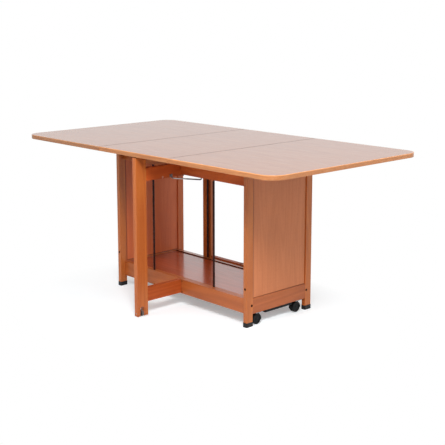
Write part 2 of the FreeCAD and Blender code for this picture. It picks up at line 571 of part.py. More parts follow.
for face, (side, angle) in GATES.items():
    place = ("gate_axis", f"{side} * {GATE_Y}")
    for label, master in ((f"gate_rail_high_{face}", upper_rail), (f"gate_rail_low_{face}", lower_rail),
                          (f"gate_post_{face}", stile)):
        keep(label, group(label + "_set", [copy_of(master, label + "_copy", *place, 0, angle=angle)]))
    centre_of_roller = {"front": (place[0], f"{side} * {GATE_Y} - {SLOT_X}"),
                        "back": (f"gate_axis - {SLOT_X}", place[1])}[face]
    keep(f"gate_roller_{face}", group(f"roller_{face}", [
        copy_of(roller, f"roller_{face}_copy", *centre_of_roller, "roller_dia / 2", angle=angle)]))
    # The catch plate is on the face that meets the stay when the gate stands open.
    catch = block(f"catch_plate_{face}", ("catch_along - catch_long / 2", "catch_long"),
                  span("gate_thick / 2", "gate_thick / 2 + catch_plate", -side),
                  ("gate_high_base", "catch_tall"))
    fittings = group(f"gate_fittings_{face}", [roller_pin, gate_pad, catch])
    keep(f"gate_hardware_{face}", group(f"gate_hardware_{face}_set", [
        copy_of(fittings, f"gate_fittings_{face}_copy", *place, 0, angle=angle)]))

# ---------------------------------------------------------------- gate hinge brackets
# A steel strap bent to a U on the end of each facing rail, its ears above and below the gate rail.
EAR_LONG = f"({FACE_START} - gate_axis)"


def hinge_bracket(name, tall):
    """A bracket standing from z = 0 at the underside of a gate rail, with its pin, axis at X = 0."""
    ear_room = f"({tall} + 2 * bracket_gap)"
    wide = ("-bracket_wide / 2", "bracket_wide")
    web = block(name + "_web", (f"{EAR_LONG} - bracket_thick", "bracket_thick"), wide,
                ("-bracket_gap - bracket_thick", f"{ear_room} + 2 * bracket_thick"))
    pieces = [web]
    for level, z in (("low", "-bracket_gap - bracket_thick"), ("high", f"{tall} + bracket_gap")):
        pieces.append(block(f"{name}_{level}_ear", (0, EAR_LONG), wide, (z, "bracket_thick")))
        pieces.append(cylinder(f"{name}_{level}_end", "z", 0, 0, z, "bracket_wide / 2", "bracket_thick"))
    hole = cylinder(name + "_hole", "z", 0, 0, f"-{tall}", "gate_pin / 2 + bore_slack / 4", f"3 * {tall}")
    strap = cut(name + "_strap", fused(name + "_blank", pieces), [hole])
    pin = cylinder(name + "_pin", "z", 0, 0, "-bracket_gap - 2 * bracket_thick", "gate_pin / 2",
                   f"{ear_room} + 4 * bracket_thick")
    return group(name, [strap, pin])


brackets = {level: hinge_bracket(f"bracket_{level}", f"gate_{level}_tall") for level in ("low", "high")}
keep("gate_hinge_brackets", group("bracket_set", [
    copy_of(bracket, f"bracket_{face}_{level}", "gate_axis", f"{side} * {GATE_Y}", f"gate_{level}_base")
    for face, side in SIDES.items() for level, bracket in brackets.items()]))

# ---------------------------------------------------------------- stays
# A bent steel rod: one end turns up through a plate under the facing rail and is headed over above it,
# the other turns up as a hook that stops the open gate.
wire = doc.addObject("PartDesign::Body", "stay_wire")
path = new_sketch(wire, "XZ_Plane", "stay_path")
LEG_TOP = "(stay_low + slip)"
bend, long, leg, hook = 8, 140, 10, 20  # where the sketch starts, before the formulas pull it into place
near_bend = Part.Circle(V(bend, bend, 0), V(0, 0, 1), bend)
far_bend = Part.Circle(V(long - bend, bend, 0), V(0, 0, 1), bend)
path.addGeometry(Part.LineSegment(V(0, leg, 0), V(0, bend, 0)))
path.addGeometry(Part.ArcOfCircle(near_bend, math.pi, 3 * math.pi / 2))
path.addGeometry(Part.LineSegment(V(bend, 0, 0), V(long - bend, 0, 0)))
path.addGeometry(Part.ArcOfCircle(far_bend, 3 * math.pi / 2, 2 * math.pi))
path.addGeometry(Part.LineSegment(V(long, bend, 0), V(long, hook, 0)))
for kind, *refs in (("PointOnObject", 0, 1, -2), ("Tangent", 0, 2, 1, 1), ("Tangent", 1, 2, 2, 1),
                    ("Tangent", 2, 2, 3, 1), ("Tangent", 3, 2, 4, 1), ("PointOnObject", 2, 1, -1),
                    ("Vertical", 0), ("Vertical", 4), ("Horizontal", 2), ("Equal", 1, 3)):
    path.addConstraint(Sketcher.Constraint(kind, *refs))
for kind, refs, number, text in (("Radius", (1,), bend, "wire_bend"),
                                 ("DistanceY", (-1, 1, 0, 1), leg, LEG_TOP),
                                 ("DistanceX", (-1, 1, 4, 2), long, STAY_LONG),
                                 ("DistanceY", (-1, 1, 4, 2), hook, "hook_tall")):
    spot = path.addConstraint(Sketcher.Constraint(kind, *refs, number))
    path.setExpression(f"Constraints[{spot}]", formula(text))
section = new_sketch(wire, "XY_Plane", "stay_section")
section.setExpression("AttachmentOffset.Base.z", formula(LEG_TOP))
section.addGeometry(Part.Circle(V(0, 0, 0), V(0, 0, 1), 3))
section.addConstraint(Sketcher.Constraint("Coincident", 0, 3, -1, 1))
round_of_wire = section.addConstraint(Sketcher.Constraint("Radius", 0, 3))
section.setExpression(f"Constraints[{round_of_wire}]", formula("wire_dia / 2"))
pipe = wire.newObject("PartDesign::AdditivePipe", "stay_pipe")
pipe.Profile = section
pipe.Spine = (path, [f"Edge{i}" for i in range(1, 6)])

stay_head = cylinder("stay_head", "z", 0, 0, LEG_TOP, "stay_head / 2", "stay_head_tall")
stay_rod = fused("stay_rod", [wire, stay_head])

STOWED = f"asin(({HALF_DEEP} + wire_dia / 2 + stow_gap - {STAY_Y}) / {STAY_LONG})"
OPENED = f"180 deg + atan({STAY_DY} / {STAY_DX})"
for face, side, angle in (("front", -1, OPENED), ("back", 1, STOWED)):
    keep(f"stay_hook_{face}", group(f"stay_{face}", [
        copy_of(stay_rod, f"stay_{face}_rod", "stay_x", f"{side} * {STAY_Y}", STAY_Z, angle=angle)]))

stay_sheet = block("stay_sheet", ("-stay_plate_long / 2", "stay_plate_long"),
                   ("-stay_plate_wide / 2", "stay_plate_wide"), ("-bracket_thick", "bracket_thick"))
sheet_bore = cylinder("sheet_bore", "z", 0, 0, "-bracket_thick", "wire_dia / 2 + bore_slack",
                      "bracket_thick")
stay_plate = cut("stay_plate", stay_sheet, [sheet_bore])
keep("stay_plates", group("stay_plate_set", [
    copy_of(stay_plate, f"stay_plate_{face}", "stay_x", f"{side} * {STAY_Y}", "high_face_base")
    for face, side in SIDES.items()]))

# ---------------------------------------------------------------- castors
PLATE_BASE = "(end_low_base - castor_plate)"
TRACK = "(castor_web / 2 + wheel_gap)"
HOOD_WIDE = f"(2 * {TRACK} + 2 * wheel_wide)"
WHEEL_ROUND = "(wheel_dia / 2)"

WHEEL_OUT = f"({TRACK} + wheel_wide)"
wheel = revolved("wheel", "XZ_Plane", [
    (TRACK, "axle_dia / 2 + bore_slack"), (f"{WHEEL_OUT} - hub_step", "axle_dia / 2 + bore_slack"),
    (f"{WHEEL_OUT} - hub_step", "hub_dia / 2"), (f"{WHEEL_OUT} - wheel_dish", "hub_dia / 2"),
    (f"{WHEEL_OUT} - wheel_dish", "dish_dia / 2"), (WHEEL_OUT, "dish_dia / 2"),
    (WHEEL_OUT, f"{WHEEL_ROUND} - tread_round"), (f"{WHEEL_OUT} - tread_round", WHEEL_ROUND),
    (TRACK, WHEEL_ROUND)], "H_Axis")

# The hood: an arched cover over both wheels with a web between them and a neck round the stem.
HOOD_ROUND = f"({WHEEL_ROUND} + hood_gap + hood_wall)"
drum = cylinder("hood_drum", "x", f"-{HOOD_WIDE} / 2", "-castor_trail", AXLE_Z, HOOD_ROUND, HOOD_WIDE)
neck = cylinder("hood_neck", "z", 0, 0, AXLE_Z, "neck_dia / 2", f"{PLATE_BASE} - neck_gap - {AXLE_Z}")
wheel_rooms = [cylinder(f"wheel_room_{hand}", "x", start, "-castor_trail", AXLE_Z,
                        f"{WHEEL_ROUND} + hood_gap", HOOD_WIDE)
               for hand, start in (("right", "castor_web / 2"), ("left", f"-castor_web / 2 - {HOOD_WIDE}"))]
open_foot = block("hood_foot", ("-neck_dia * 2", "neck_dia * 4"),
                  ("-wheel_dia - castor_trail", "2 * wheel_dia"),
                  ("-wheel_dia", f"{AXLE_Z} - hood_skirt + wheel_dia"))
stem_bore = cylinder("stem_bore", "z", 0, 0, f"{PLATE_BASE} - stem_long - slip", "stem_dia / 2 + bore_slack",
                     "stem_long + castor_plate")
axle_bore = cylinder("axle_bore", "x", "-castor_web", "-castor_trail", AXLE_Z,
                     "axle_dia / 2 + bore_slack / 4", "2 * castor_web")
hood = cut("hood", fused("hood_blank", [drum, neck]), wheel_rooms + [open_foot, stem_bore, axle_bore])
axle = cylinder("axle", "x", f"axle_short - {HOOD_WIDE} / 2", "-castor_trail", AXLE_Z, "axle_dia / 2",
                f"{HOOD_WIDE} - 2 * axle_short")
castor_fork = group("castor_fork", [hood, axle])
foot_plate = block("castor_plate", ("-plate_across / 2", "plate_across"), ("-plate_along / 2", "plate_along"),
                   (PLATE_BASE, "castor_plate"))
stem = cylinder("castor_stem", "z", 0, 0, f"{PLATE_BASE} - stem_long", "stem_dia / 2",
                "stem_long + castor_plate")
foot_plate_and_stem = fused("castor_foot", [foot_plate, stem])

for face, side in SIDES.items():
    y = f"{side} * {CASTOR_Y}"
    keep(f"castor_hood_{face}", group(f"fork_{face}", [
        copy_of(castor_fork, f"fork_{face}_copy", CASTOR_X, y, 0)]))
    keep(f"castor_wheels_{face}", group(f"wheels_{face}", [
        copy_of(wheel, f"wheel_{face}_{angle}", CASTOR_X, f"{y} - castor_trail", AXLE_Z, angle=angle)
        for angle in (0, 180)]))
keep("castor_plates", group("castor_plate_set", [
    copy_of(foot_plate_and_stem, f"castor_plate_{face}", CASTOR_X, f"{side} * {CASTOR_Y}", 0)
    for face, side in SIDES.items()]))

RAIL_INNER = f"({HALF_LONG} - end_inset - end_rail_thick)"
keep("castor_cleat", timber("cleat", (f"{RAIL_INNER} - cleat_thick", "cleat_thick"),
                            BETWEEN_RAILS, ("end_low_base", "cleat_tall"), "y", "rail_ease"))
keep("castor_bar", timber("bar", (f"{CASTOR_X} + bar_shift - bar_wide / 2", "bar_wide"),
                          ("-bar_half", "2 * bar_half"), ("end_low_base - bar_tall", "bar_tall"),
                          "y", "post_ease"))

# ---------------------------------------------------------------- checks and files
doc.recompute()
broken = [thing.Name for thing in doc.Objects if {"Invalid", "Error"} & set(thing.State)]
if broken:
    raise SystemExit("failed objects: " + ", ".join(broken))
for name, thing in nodes.items():
    if thing.Shape.isNull() or not thing.Shape.isValid():
        raise SystemExit("bad shape: " + name)
os.makedirs("parts", exist_ok=True)
for name, thing in nodes.items():
    thing.Shape.exportStep(f"parts/{name}.step")
print(len(nodes), "sub-parts written")
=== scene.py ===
import math

import bmesh
import bpy
import numpy as np
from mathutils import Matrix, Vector


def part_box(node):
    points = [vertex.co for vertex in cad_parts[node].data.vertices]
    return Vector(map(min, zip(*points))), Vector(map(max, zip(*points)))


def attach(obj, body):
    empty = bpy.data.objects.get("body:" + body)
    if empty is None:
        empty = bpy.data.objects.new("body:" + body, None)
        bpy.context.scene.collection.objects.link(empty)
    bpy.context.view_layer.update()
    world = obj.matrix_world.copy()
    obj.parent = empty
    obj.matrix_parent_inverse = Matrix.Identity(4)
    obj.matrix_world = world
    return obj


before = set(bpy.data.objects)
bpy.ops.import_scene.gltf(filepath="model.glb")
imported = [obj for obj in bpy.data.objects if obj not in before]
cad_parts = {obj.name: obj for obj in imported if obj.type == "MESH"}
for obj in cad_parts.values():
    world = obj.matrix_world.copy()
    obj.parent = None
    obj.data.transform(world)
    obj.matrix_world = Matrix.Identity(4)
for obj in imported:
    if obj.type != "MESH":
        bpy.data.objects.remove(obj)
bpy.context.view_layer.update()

# Corner posts: four uprights of cherry, planed, eased along their long edges, stained a warm
# orange brown and sprayed with clear gloss lacquer, with their grain upright. One of them has
# paler, redder tones as painted light where less light reaches it, and the faces beside the end
# panels are painted paler as painted light against the shade in the grooves there.
POST_TONES = ((196, 115, 56), (163, 84, 36))
POST_PAINTED_LIGHT_TONES = ((214, 116, 58), (180, 86, 40))
POST_CUTS = {"post_left_front": 0.0, "post_left_back": 3.1, "post_right_front": 6.2,
             "post_right_back": 9.3}
# Painted light on each post's face beside its end panel: its reach and its tone on the dark stain.
POST_LIGHT_REACH = 0.0012
POST_LIGHT_TONE = 1.15


def stain(red, green, blue):
    """A stain given on the 0 to 255 scale, as linear light: with v as the share of 255 it is
    ((v + 0.055) / 1.055) ^ 2.4, or v / 12.92 where v is under 0.04045."""
    share = np.array((red, green, blue)) / 255
    light = np.where(share <= 0.04045, share / 12.92, ((share + 0.055) / 1.055) ** 2.4)
    return (*light.tolist(), 1.0)


def add(tree, kind, values=(), **settings):
    """One more shader node: its settings, then its inputs, each a value or a node's output."""
    node = tree.nodes.new(kind)
    for setting, value in settings.items():
        setattr(node, setting, value)
    for socket, value in dict(values).items():
        if isinstance(value, bpy.types.NodeSocket):
            tree.links.new(value, node.inputs[socket])
        else:
            node.inputs[socket].default_value = value
    return node


def blank_finish(name):
    """An empty material: its node tree with the object's own coordinates and its output node."""
    finish = bpy.data.materials.new(name)
    finish.use_nodes = True
    tree = finish.node_tree
    tree.nodes.clear()
    place = add(tree, "ShaderNodeTexCoord").outputs["Object"]
    output = add(tree, "ShaderNodeOutputMaterial")
    return finish, tree, place, output


def maths(tree, kind, first, second=0.0):
    """First and second added, multiplied or otherwise joined."""
    return add(tree, "ShaderNodeMath", {0: first, 1: second}, operation=kind).outputs[0]


def remap(tree, value, low, high, to_low=0.0, to_high=1.0):
    """A value carried from one range to another, and clamped inside it."""
    ranged = add(tree, "ShaderNodeMapRange", {"Value": value, "From Min": low, "From Max": high,
                                             "To Min": to_low, "To Max": to_high}, clamp=True)
    return ranged.outputs[0]


# Nearly all of a noise field lies between these two values.
NOISE_LOW = 0.3
NOISE_HIGH = 0.7


def uneven(tree, noise, least, most):
    """A roughness that follows a noise field from its least to its most."""
    return remap(tree, noise, NOISE_LOW, NOISE_HIGH, least, most)


def mix_tones(tree, share, first, second):
    """Two colours mixed: first * (1 - share) + second * share."""
    mixed = add(tree, "ShaderNodeMix", {0: share, 6: first, 7: second}, data_type="RGBA")
    return mixed.outputs[2]


def relief(tree, height, strength, depth):
    """The surface's direction tilted by the slope of a height field that is some metres deep."""
    bump = add(tree, "ShaderNodeBump", {"Height": height, "Strength": strength, "Distance": depth})
    return bump.outputs[0]


def surfaced(finish, output, inputs):
    """Gives a finish its one surface shader, with all that is set or linked on it."""
    shader = add(finish.node_tree, "ShaderNodeBsdfPrincipled", inputs)
    finish.node_tree.links.new(shader.outputs[0], output.inputs[0])
    return finish


# Each finer layer of a noise field is this share as strong as the one before it.
LAYER_KEPT = 0.55


def drawn_noise(tree, place, grain, along, across, shift, detail, twist=0.0):
    """Noise whose blobs are drawn out along the grain: cells per metre along and across it."""
    scale = [across] * 3
    scale["xyz".index(grain)] = along
    mapped = add(tree, "ShaderNodeMapping", {"Vector": place, "Location": [shift] * 3,
                                             "Scale": scale})
    noise = add(tree, "ShaderNodeTexNoise", {
        "Vector": mapped.outputs[0], "Scale": 1.0, "Detail": detail, "Roughness": LAYER_KEPT,
        "Distortion": twist})
    return noise.outputs[0]


# The share of a plane's reach over which its mark is whole.
PLANE_WHOLE = 0.4


def along_planes(tree, place, planes):
    """1 on any of some planes, and 0 from its reach away: each is an axis, a place on it and a
    reach. It is the greatest of (reach - |x - spot|) / (0.6 * reach), each clamped to 0 to 1."""
    axes = add(tree, "ShaderNodeSeparateXYZ", {"Vector": place}).outputs
    share = 0.0
    for axis, spot, reach in planes:
        off = maths(tree, "ABSOLUTE", maths(tree, "SUBTRACT", axes["xyz".index(axis)], spot))
        share = maths(tree, "MAXIMUM", share,
                      remap(tree, off, reach * PLANE_WHOLE, reach, 1.0, 0.0))
    return share


# Cherry's growth rings: cells per metre along the grain, detail, and how far they are bent.
RING_CELLS = 0.9
RING_DETAIL = 1.5
RING_TWIST = 0.35
# Its finer layers: cells per metre along and across the grain, cells off the rings, and detail.
FINER_LAYERS = {"cloud": (2.4, 14.0, 4.0, 2.0), "fibre": (9.0, 420.0, 2.0, 3.0),
                "pores": (60.0, 1500.0, 7.0, 0.0)}
# The noise that opens a pore, each layer's weight, and the part of their sum that mixes the stains.
PORE_RANGE = (0.62, 0.74)
LAYER_WEIGHTS = {"rings": 0.42, "cloud": 0.40, "fibre": 0.26, "pores": 0.22}
STAIN_RANGE = (0.22, 0.86)
# The lacquered surface: its least and most roughness, and its relief's strength and depth.
WOOD_ROUGH = (0.34, 0.5)
WOOD_RELIEF = (0.12, 0.0002)
# Painted highlight: the share of the colour it takes, how much paler it is, and the palest tone.
HIGHLIGHT_SHARE = 0.8
HIGHLIGHT_TONE = 1.25
HIGHLIGHT_PALEST = 250


def cherry(name, grain, tones, cut, figure=0.55, rings=9.0, across=9.0, shine=0.25, coat=0.3,
           gloss=0.22, film=1.5, joints=(), joint_and_painted_light_tone=0.62, bare=(), highlighted=()):
    """Lacquered cherry. The figure is the sine of a noise field drawn out along the grain, as of
    growth rings cut lengthwise; fibres and pores are finer noise the same way. Together they mix
    the pale and the dark stain. The fibres also set the roughness, and less the pores they lift
    the surface. Each piece is cut from another place in the noise. Along the planes it is given,
    the colour goes to the dark stain times a tone and the lacquer is thin: dark joint lines,
    painted shade, or painted light where the tone is over 1. Its bare faces have no lacquer, and
    along its highlight planes a painted highlight makes the stain paler."""
    finish, tree, place, output = blank_finish(name)
    pale, dark = tones
    growth = drawn_noise(tree, place, grain, RING_CELLS, across, cut, RING_DETAIL, RING_TWIST)
    waves = maths(tree, "SINE", maths(tree, "MULTIPLY", growth, rings * math.tau))
    layers = {"rings": remap(tree, waves, -1.0, 1.0, 0.5 - figure / 2, 0.5 + figure / 2)}
    for layer, (along, wide, off, detail) in FINER_LAYERS.items():
        layers[layer] = drawn_noise(tree, place, grain, along, wide, cut + off, detail)
    layers["pores"] = remap(tree, layers["pores"], *PORE_RANGE)
    mixed = 0.0
    for layer, weight in LAYER_WEIGHTS.items():
        mixed = maths(tree, "ADD", mixed, maths(tree, "MULTIPLY", layers[layer], weight))
    tint = mix_tones(tree, remap(tree, mixed, *STAIN_RANGE), stain(*pale), stain(*dark))
    lacquer = coat
    # A painted highlight along the planes given: the stain goes paler there.
    if highlighted:
        highlight_mask = maths(tree, "MULTIPLY", along_planes(tree, place, highlighted), HIGHLIGHT_SHARE)
        paler = stain(*[min(tone * HIGHLIGHT_TONE, HIGHLIGHT_PALEST) for tone in pale])
        tint = mix_tones(tree, highlight_mask, tint, paler)
    # Dark joint lines, painted shade, or painted light where the tone is over 1.
    if joints:
        joint_and_painted_light_colour = stain(*[tone * joint_and_painted_light_tone for tone in dark])
        tint = mix_tones(tree, along_planes(tree, place, joints), tint, joint_and_painted_light_colour)
        thin = along_planes(tree, place, joints + bare)
        lacquer = maths(tree, "MULTIPLY", maths(tree, "SUBTRACT", 1.0, thin), coat)
    lift = maths(tree, "SUBTRACT", layers["fibre"], layers["pores"])
    return surfaced(finish, output, {
        "Base Color": tint, "Roughness": uneven(tree, layers["fibre"], *WOOD_ROUGH),
        "Normal": relief(tree, lift, *WOOD_RELIEF), "Specular IOR Level": shine,
        "Coat Weight": lacquer, "Coat Roughness": gloss, "Coat IOR": film})


def coat_nodes(finish, *nodes):
    """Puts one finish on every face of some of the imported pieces."""
    for node in nodes:
        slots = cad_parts[node].data.materials
        slots.clear()
        slots.append(finish)


for node, cut in POST_CUTS.items():
    # The left back post's paler, redder tones are painted light.
    tones = POST_PAINTED_LIGHT_TONES if node == "post_left_back" else POST_TONES
    post_low, post_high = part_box(node)
    panel_side_light = ("y", post_low.y if "back" in node else post_high.y, POST_LIGHT_REACH)
    coat_nodes(cherry("cherry_" + node, "z", tones, cut, joints=(panel_side_light,), joint_and_painted_light_tone=POST_LIGHT_TONE), node)

# Foot caps: four black polythene shoes pushed over the posts' ends, moulded with a fine matt
# grain so that they do not mark the floor. The glide pads under the top are of the same plastic.
CAP_TONES = ((24, 21, 22), (44, 41, 42))
# The near-black of the painted shade on moulded parts.
SHADE_BLACK = (34, 17, 9)
# The bloom on moulded plastic: cells per metre, and its range of noise and its share of colour.
BLOOM_CELLS = 45.0
BLOOM_RANGE = (0.45, 0.75, 0.0, 0.6)
# The moulded grain: how far it takes the roughness down and up, and its strength and depth.
GRAIN_SMOOTHER = 0.06
GRAIN_ROUGHER = 0.08
GRAIN_RELIEF = (0.25, 0.0002)


def even_noise(tree, place, cells, detail):
    """Noise whose blobs are as long as they are wide: cells per metre."""
    noise = add(tree, "ShaderNodeTexNoise", {"Vector": place, "Scale": cells, "Detail": detail})
    return noise.outputs[0]


def moulded(name, tones, roughness, cells, shine=0.25, shade_planes=()):
    """Moulded plastic: fine noise is the grain of the surface, and broad noise a faint bloom of the
    second tone on the first. Along the planes it is given, it is painted nearly black as painted
    shade."""
    finish, tree, place, output = blank_finish(name)
    fine = even_noise(tree, place, cells, detail=2.0)
    bloom = remap(tree, even_noise(tree, place, BLOOM_CELLS, detail=3.0), *BLOOM_RANGE)
    tint = mix_tones(tree, bloom, *[stain(*tone) for tone in tones])
    if shade_planes:
        tint = mix_tones(tree, along_planes(tree, place, shade_planes), tint, stain(*SHADE_BLACK))
    return surfaced(finish, output, {
        "Base Color": tint, "Normal": relief(tree, fine, *GRAIN_RELIEF),
        "Roughness": uneven(tree, fine, roughness - GRAIN_SMOOTHER, roughness + GRAIN_ROUGHER),
        "Specular IOR Level": shine})


coat_nodes(moulded("black_polythene", CAP_TONES, roughness=0.5, cells=2200.0), "foot_caps",
           "glide_pads")

# End frames: a veneered panel let in behind the posts, grain upright, between a bottom and a top
# rail of solid cherry with the grain across. All of it is lacquered like the posts. Dark lines
# round the panels are painted shade in the gaps at the posts and rails, widest along the front side
# as the post's painted shadow, and the left panel's redder tones are painted shade on its inner
# face.
PANELS = {"left": (((220, 119, 69), (190, 92, 49)), 5.3),
          "right": (((204, 125, 78), (174, 99, 58)), 8.0)}
# Painted shade in the gaps round each panel: wide along its front side, narrow at its ends.
PANEL_SIDE_SHADE_REACH = 0.0105
PANEL_END_SHADE_REACH = 0.0035
RAIL_TONES = ((184, 100, 47), (148, 73, 32))
END_RAIL_CUTS = {"low_left": 11.0, "high_left": 12.1, "low_right": 13.3, "high_right": 14.4}
panel_low, panel_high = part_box("end_panel_right")
panel_shade_lines = (("y", panel_low.y, PANEL_SIDE_SHADE_REACH), ("z", panel_low.z, PANEL_END_SHADE_REACH),
                ("z", panel_high.z, PANEL_END_SHADE_REACH))
for end, (tones, cut) in PANELS.items():
    coat_nodes(cherry("cherry_veneer_" + end, "z", tones, cut, across=16.0, figure=0.28, coat=0.2,
                      joints=panel_shade_lines), "end_panel_" + end)
for rail, cut in END_RAIL_CUTS.items():
    coat_nodes(cherry("cherry_end_" + rail, "y", RAIL_TONES, cut), "end_rail_" + rail)

# Long rails and facings: solid cherry, grain along the table. The recessed rails carry the shelf
# and the swivel board; the facings fill their right half out to the face of the posts. The rails'
# inner faces are painted darker as painted shade, and unlacquered, and the low back rail has the
# shelf's gloss. The high facings' redder tones are painted shade under the top.
LONG_RAILS = {"low_front": (21.0, 0.3), "high_front": (21.6, 0.1), "low_back": (22.7, 1.0),
              "high_back": (23.3, 0.1)}
# Painted shade on the rails' inner faces: its reach and its tone on the dark stain.
INNER_SHADE_REACH = 0.002
INNER_SHADE_TONE = 0.8
FACING_CUTS = {"low_front": 31.0, "high_front": 32.0, "low_back": 32.9, "high_back": 33.9}
# Redder tones as painted shade under the top.
FACING_HIGH_SHADE_TONES = ((204, 98, 42), (168, 72, 28))
for rail, (cut, coat) in LONG_RAILS.items():
    rail_low, rail_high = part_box("rail_" + rail)
    shaded_inner_face = ("y", rail_high.y if "front" in rail else rail_low.y, INNER_SHADE_REACH)
    coat_nodes(cherry("cherry_rail_" + rail, "x", RAIL_TONES, cut, shine=0.1, coat=coat, gloss=0.16,
                      joints=(shaded_inner_face,), joint_and_painted_light_tone=INNER_SHADE_TONE), "rail_" + rail)
for facing, cut in FACING_CUTS.items():
    if "low" in facing:
        wood = cherry("cherry_facing_" + facing, "x", RAIL_TONES, cut)
    else:
        wood = cherry("cherry_facing_" + facing, "x", FACING_HIGH_SHADE_TONES, cut, shine=0.1, coat=0.1)
    coat_nodes(wood, "facing_" + facing)

# Shelf: a veneered board between the low rails, for the folding chairs that are kept inside.
# Its lacquer is rubbed less than the top's, so it mirrors the posts and rods. Its tones are
# redder and darker than the top's as painted shade under the top, and a dark band along its
# back edge is painted shade.
SHELF_SHADE_TONES = ((170, 70, 24), (142, 53, 17))
# The width of the painted shade along the shelf's back edge.
SHELF_BACK_SHADE_REACH = 0.009
BARE_REACH = 0.004
shelf_low, shelf_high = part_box("shelf")
shaded_back_edge = ("y", shelf_high.y, SHELF_BACK_SHADE_REACH)
underside = ("z", shelf_low.z, BARE_REACH)
coat_nodes(cherry("cherry_shelf", "x", SHELF_SHADE_TONES, cut=41.0, shine=0.1, coat=1.0, gloss=0.16,
                  film=1.62, joints=(shaded_back_edge,), bare=(underside,)), "shelf")

# Rods: four upright bars of steel, painted black, that fence the space for the folding chairs.
# They stand in blind holes in the long rails. The reddish cast of their black is a painted
# reflection of the wood round them.
ROD_BLACK_AND_REFLECTION = (44, 14, 8)
RODS = ("rod_left_front", "rod_left_back", "rod_right_front", "rod_right_back")
# Paint: cells per metre of its orange peel and its patches, the noise that makes a patch, and how
# much paler and rougher a patch is; then the peel's strength and depth.
PEEL_CELLS = 700.0
PATCH_CELLS = 60.0
PATCH_RANGE = (0.4, 0.7)
PATCH_PALER = 10
PATCH_ROUGHER = 0.12
PEEL_RELIEF = (0.15, 0.0002)


def painted(name, colour, roughness, shine=0.3):
    """Stoving paint on steel: fine noise is its orange-peel surface, and broad noise makes patches
    that are a little paler and rougher."""
    finish, tree, place, output = blank_finish(name)
    peel = even_noise(tree, place, PEEL_CELLS, detail=1.0)
    patch = even_noise(tree, place, PATCH_CELLS, detail=3.0)
    tint = mix_tones(tree, remap(tree, patch, *PATCH_RANGE), stain(*colour),
                     stain(*[tone + PATCH_PALER for tone in colour]))
    return surfaced(finish, output, {
        "Base Color": tint, "Normal": relief(tree, peel, *PEEL_RELIEF),
        "Roughness": uneven(tree, patch, roughness, roughness + PATCH_ROUGHER),
        "Specular IOR Level": shine})


coat_nodes(painted("black_rod_paint", ROD_BLACK_AND_REFLECTION, roughness=0.2, shine=0.12), *RODS)

# Frame bolts: domed furniture bolts with six-sided sockets, blackened steel, through the posts
# into the long rails and the end frames, each in a thin pressed cup washer.
BOLT_DARK = (38, 16, 9)
# The cup's section from its lip round its rim to the foot behind the post's face, and back.
CUP_RADII = np.array((0.0044, 0.0046, 0.0052, 0.0057, 0.0058, 0.0058, 0.0044))
CUP_HEIGHTS = np.array((0.0001, 0.0005, 0.0006, 0.0004, 0.0, -0.0006, -0.0006))
SIDE_BOLT_LEVELS = (0.172, 0.700)
END_BOLT_LEVELS = (0.094, 0.680)
END_BOLT_IN = 0.031
# Round pieces have this many sides, start from a direction that no axis shares, merge points that
# are this near, and keep an edge sharp where it turns by more than this.
ROUND_SIDES = 24
SKEW = (0.3, 0.5, 0.8)
MERGE_WITHIN = 1e-6
SHARP_TURN = math.radians(35)
blackened = painted("blackened_bolt", BOLT_DARK, roughness=0.45, shine=0.06)
coat_nodes(blackened, "frame_bolts")


def skin(name, points, faces, finish):
    """A mesh object at the origin from arrays of points and faces: its doubles are merged, and it
    takes one finish in its one slot."""
    mesh = bpy.data.meshes.new(name)
    mesh.from_pydata(points.tolist(), [], faces.tolist())
    shell = bmesh.new()
    shell.from_mesh(mesh)
    bmesh.ops.remove_doubles(shell, verts=shell.verts, dist=MERGE_WITHIN)
    bmesh.ops.recalc_face_normals(shell, faces=shell.faces)
    shell.to_mesh(mesh)
    shell.free()
    piece = bpy.data.objects.new(name, mesh)
    bpy.context.scene.collection.objects.link(piece)
    mesh.shade_smooth()
    mesh.set_sharp_from_angle(angle=SHARP_TURN)
    mesh.materials.append(finish)
    return piece


def around(spots, normal, radii, heights):
    """Points of a profile of radii and heights carried round an axis at each spot: spot + r cos a
    * s + r sin a * t + h * n, where n is the axis and s and t are square to it and each other."""
    up = np.array(normal, float)
    side = np.cross(up, SKEW)
    side /= np.linalg.norm(side)
    other = np.cross(up, side)
    angle = np.arange(ROUND_SIDES) * math.tau / ROUND_SIDES
    out = np.cos(angle)[:, None] * side + np.sin(angle)[:, None] * other
    local = radii[:, None, None] * out + heights[:, None, None] * up
    return (np.array(spots)[:, None, None, :] + local[None]).reshape(-1, 3)


def ring_faces(copies, rings, closed):
    """Quads between neighbouring rings of points, and from the last ring to the first if closed:
    point t of ring r in copy c is number (c * rings + r) * sides + t."""
    ring, turn = np.meshgrid(np.arange(rings if closed else rings - 1), np.arange(ROUND_SIDES),
                             indexing="ij")
    next_ring, next_turn = (ring + 1) % rings, (turn + 1) % ROUND_SIDES
    corners = ((ring, turn), (next_ring, turn), (next_ring, next_turn), (ring, next_turn))
    faces = np.stack([row * ROUND_SIDES + step for row, step in corners], -1).reshape(1, -1, 4)
    starts = np.arange(copies) * rings * ROUND_SIDES
    return (faces + starts[:, None, None]).reshape(-1, 4)


def bolt_cups(side, spots, normal):
    """A cup washer at each spot: its closed section carried round the bolt's axis."""
    points = around(spots, normal, CUP_RADII, CUP_HEIGHTS)
    faces = ring_faces(len(spots), len(CUP_RADII), closed=True)
    return skin("bolt_cups_" + side, points, faces, blackened)


